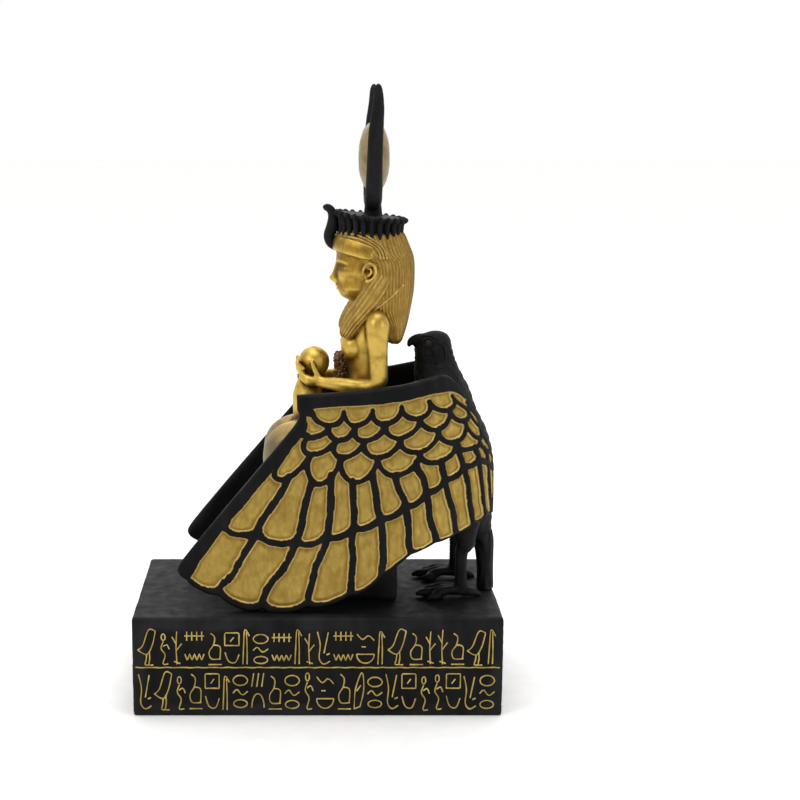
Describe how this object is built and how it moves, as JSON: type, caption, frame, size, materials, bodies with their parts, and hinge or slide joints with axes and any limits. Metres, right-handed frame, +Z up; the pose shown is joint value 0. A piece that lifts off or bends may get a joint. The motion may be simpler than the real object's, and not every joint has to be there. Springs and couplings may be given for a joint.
{
  "type": "seated goddess figurine",
  "caption": "Seated goddess held between a falcon's wings, with a horned sun-disk crown, on an oblong plinth with rows of strokes.",
  "frame": {"origin": "middle of the plinth's underside", "axes": "+Z up, the goddess faces -Y with the falcon behind her at +Y, +X towards her left hand"},
  "size_m": [0.0508, 0.0888, 0.1492],
  "materials": {
    "black_paint": "matt black paint on cast resin, antique gold paint on the figure and in the wings' cells"
  },
  "bodies": {
    "root": {"isis_statue": "black_paint"}
  },
  "joints": []
}
